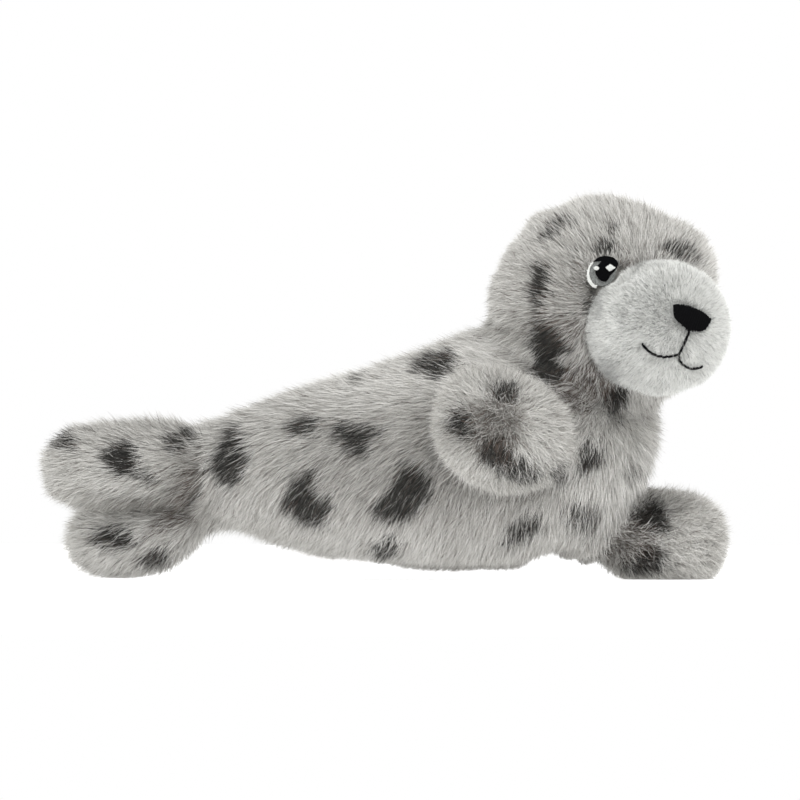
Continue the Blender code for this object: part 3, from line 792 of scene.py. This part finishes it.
def sewThreads(label, lines, radius, finish):
    verts, edges = [], []
    for line in lines:
        edges.extend((len(verts) + i, len(verts) + i + 1) for i in range(len(line) - 1))
        verts.extend(tuple(p) for p in line)
    mesh = bpy.data.meshes.new(f"{label}_lines")
    mesh.from_pydata(verts, edges, [])
    piece = addPiece(label, mesh)
    made = applyTree(piece, threadTree, {"Radius": radius, "Material": finishes[finish]})
    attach(piece, "root")
    print(label, len(lines), "threads,", len(made.polygons), "faces")
    return piece


# Satin stitch on each patch: thread spacing and radius, how ragged its ends are, how far every
# other thread reaches past them, the spacing of a thread's points, and its lean in degrees
satin = dict(pitch=0.00042, radius=0.00024, ragged=0.0002, uneven=0.00028, step=0.0006)
noseSatin = dict(pitch=0.0006, radius=0.0004, ragged=0.0002, uneven=0.0006, step=0.0006)
satinLean = {"nose": 4, "black": 12, "iris": 80, "white": 75, "glint_large": 80, "glint_small": 80}


# How a thread is laid: cast onto its patch from above, from before to after its span
laying = dict(above=0.01, depth=0.02, facing=0.3, before=0.0005, after=0.0008, tuck=0.0001)


def satinLines(name, anchor, lean, seed, stitch):
    surface = treeOf([name])
    corners = np.array([tuple(v.co) for v in nodes[name].data.vertices])
    middle = corners.mean(axis=0)
    out = unit(middle - anchor)
    up = unit(headUp - out * (headUp @ out))
    side = np.cross(up, out)
    run = up * cos(lean) + side * sin(lean)
    across = side * cos(lean) - up * sin(lean)
    spans = [(corners - middle) @ axis for axis in (run, across)]
    chance = np.random.default_rng(seed)
    lines = []
    first, last = spans[0].min() - laying["before"], spans[0].max() + laying["after"]
    for offset in np.arange(spans[1].min(), spans[1].max(), stitch["pitch"]):
        line = []
        for reach in np.arange(first, last, stitch["step"]):
            start = middle + run * reach + across * offset + out * laying["above"]
            hit = surface.ray_cast(Vector(start), Vector(-out), laying["depth"])
            if hit[0] is not None and hit[1].dot(Vector(out)) > laying["facing"]:
                line.append(np.array(hit[0]))
                continue
            if len(line) > 1:
                lines.append(line)
            line = []
    for i, line in enumerate(lines):
        # every other stitch reaches a little further, as in real satin stitch
        longer = stitch["uneven"] * (i % 2)
        first, last = (chance.uniform(0, stitch["ragged"]) + longer for end in range(2))
        line.insert(0, line[0] - run * first - out * laying["tuck"])
        line.append(line[-1] + run * last - out * laying["tuck"])
    return lines


for order, name in enumerate(stitchedNodes):
    finish = finishOf(name)
    nodes[name].data.materials.clear()
    nodes[name].data.materials.append(finishes[finish])
    if name == "mouth":
        continue
    kind = name.replace("eye_right_", "").replace("eye_left_", "")
    anchor = headMiddle + headForward * 0.051 if name == "nose" else headMiddle
    stitch = noseSatin if name == "nose" else satin
    lines = satinLines(name, anchor, radians(satinLean[kind]), order, stitch)
    sewThreads(f"{name}_threads", lines, stitch["radius"], finish)

# The mouth is a row of short overlapping stitches, in millimetres across and up from the
# muzzle's middle; the lip line's other half mirrors it
mouth = dict(
    lift=0.00085, radius=0.0006, stitch=0.0026, overlap=0.0004, fine=0.0002, lean=0.00016, dip=0.0003,
    ahead=0.12, shift=-0.0013, middleUp=0.0059,
    fork=(0.8, -4.2), groove=((0.8, 7.4), (0.8, 3), (0.8, 0)),
    lip=((2.3, -6.3), (5.2, -7.8), (8.5, -8.4), (11.6, -8.2), (14.3, -7.3), (16.8, -5.9)),
)
muzzleTree = treeOf(["muzzle"])


def onMuzzle(across, up):
    start = headMiddle + headForward * mouth["ahead"] + headLeft * (across + mouth["shift"])
    start = start + headUp * (up + mouth["middleUp"])
    hit, normal = muzzleTree.ray_cast(Vector(start), Vector(-headForward))[:2]
    return np.array(hit + normal * mouth["lift"]), np.array(normal)


def alongLine(points, spacing):
    points = np.array(points) / 1000
    reach = np.concatenate(([0], np.cumsum(np.linalg.norm(np.diff(points, axis=0), axis=1))))
    count = max(2, round(reach[-1] / spacing) + 1)
    places = np.linspace(0, reach[-1], count)
    return [(np.interp(s, reach, points[:, 0]), np.interp(s, reach, points[:, 1])) for s in places]


def lineOfStitches(points):
    # each stitch dips under at its two ends and leans a little across the line
    fine = [onMuzzle(*place) for place in alongLine(points, mouth["fine"])]
    each = round(mouth["stitch"] / mouth["fine"])
    lap = round(mouth["overlap"] / mouth["fine"])
    stitches = []
    for start in range(0, len(fine) - lap - 1, each):
        part = fine[start:start + each + lap]
        line = []
        for i in range(0, len(part), 3):
            place, normal = part[i]
            share = i / (len(part) - 1)
            ahead = part[-1][0] - part[0][0]
            sideways = unit(np.cross(normal, ahead))
            turn = 2 * share - 1
            lower = normal * mouth["dip"] * abs(turn) ** 3
            line.append(place + sideways * mouth["lean"] * turn - lower)
        if len(line) > 1:
            stitches.append(line)
    return stitches


halves = [[mouth["fork"], *((x * side, y) for x, y in mouth["lip"])] for side in (1, -1)]
halves.append([*mouth["groove"], mouth["fork"]])
mouthLines = [stitch for half in halves for stitch in lineOfStitches(half)]
mouthStitches = sewThreads("mouth_stitches", mouthLines, mouth["radius"], "black")
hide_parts("mouth")
print("stitching sewn")


def stageMaterial():
    # pale, and as seen by the camera topped up to white where no shadow falls
    material, tree, shader = newMaterial("floor", 0.9)
    shader.inputs["Base Color"].default_value = (0.9, 0.9, 0.9, 1)
    shader.inputs["Emission Color"].default_value = (1, 1, 1, 1)
    seen = addNode(tree, "ShaderNodeLightPath").outputs["Is Camera Ray"]
    glow = addNode(tree, "ShaderNodeMapRange", {"Value": seen, "To Min": 0.4, "To Max": 0.6}).outputs[0]
    tree.links.new(glow, shader.inputs["Emission Strength"])
    return material


corners = [(-3, -3, 0), (3, -3, 0), (3, 3, 0), (-3, 3, 0)]
floor = addPiece("floor", plainMesh("floor", corners, [(0, 1, 2, 3)]))
floor.data.materials.append(stageMaterial())

world = bpy.data.worlds.new("studio")
bpy.context.scene.world = world
world.use_nodes = True
sky = world.node_tree
ambient = sky.nodes["Background"]
ambient.inputs["Color"].default_value = (1, 1, 1, 1)
ambient.inputs["Strength"].default_value = 0.95
backdrop = addNode(sky, "ShaderNodeBackground", {"Color": (1, 1, 1, 1), "Strength": 1.0})
seen = addNode(sky, "ShaderNodeLightPath").outputs["Is Camera Ray"]
mix = addNode(sky, "ShaderNodeMixShader", {0: seen, 1: ambient.outputs[0], 2: backdrop.outputs[0]})
sky.links.new(mix.outputs[0], sky.nodes["World Output"].inputs["Surface"])


def areaLight(name, place, target, size, power):
    light = bpy.data.lights.new(name, "AREA")
    light.shape = "DISK"
    light.size = size
    light.energy = power
    lamp = bpy.data.objects.new(name, light)
    bpy.context.scene.collection.objects.link(lamp)
    lamp.location = place
    lamp.rotation_euler = (Vector(target) - Vector(place)).to_track_quat("-Z", "Y").to_euler()


def fromCamera(right, up, near):
    # a place given as the camera sees it
    place = viewRight * right - viewAway * near
    return (place[0], place[1], up)


lights = {
    "key": dict(place=fromCamera(0.5, 1.1, 1.3), size=1.1, power=12),
    "fill": dict(place=fromCamera(-1.2, 0.5, 1.3), size=1.4, power=6),
}
for name, light in lights.items():
    areaLight(name, light["place"], (0, 0, 0.07), light["size"], light["power"])

camera = bpy.data.objects.new("camera", bpy.data.cameras.new("camera"))
bpy.context.scene.collection.objects.link(camera)
target = Vector(viewRight * view["along"]) + Vector((0, 0, view["height"]))
level = cos(view["rise"])
towards = Vector((sin(view["turn"]) * level, -cos(view["turn"]) * level, sin(view["rise"])))
camera.location = target + towards * view["distance"]
camera.rotation_euler = (-towards).to_track_quat("-Z", "Y").to_euler()
camera.data.lens = view["lens"]
camera.data.clip_end = 30
bpy.context.scene.camera = camera
bpy.context.scene.view_settings.view_transform = "Standard"
print("floor, lights and camera set")

added = [o for o in bpy.data.objects if o.type == "MESH" and o.name not in nodes and o is not floor]
print("triangles added", sum(sum(len(p.vertices) - 2 for p in o.data.polygons) for o in added))
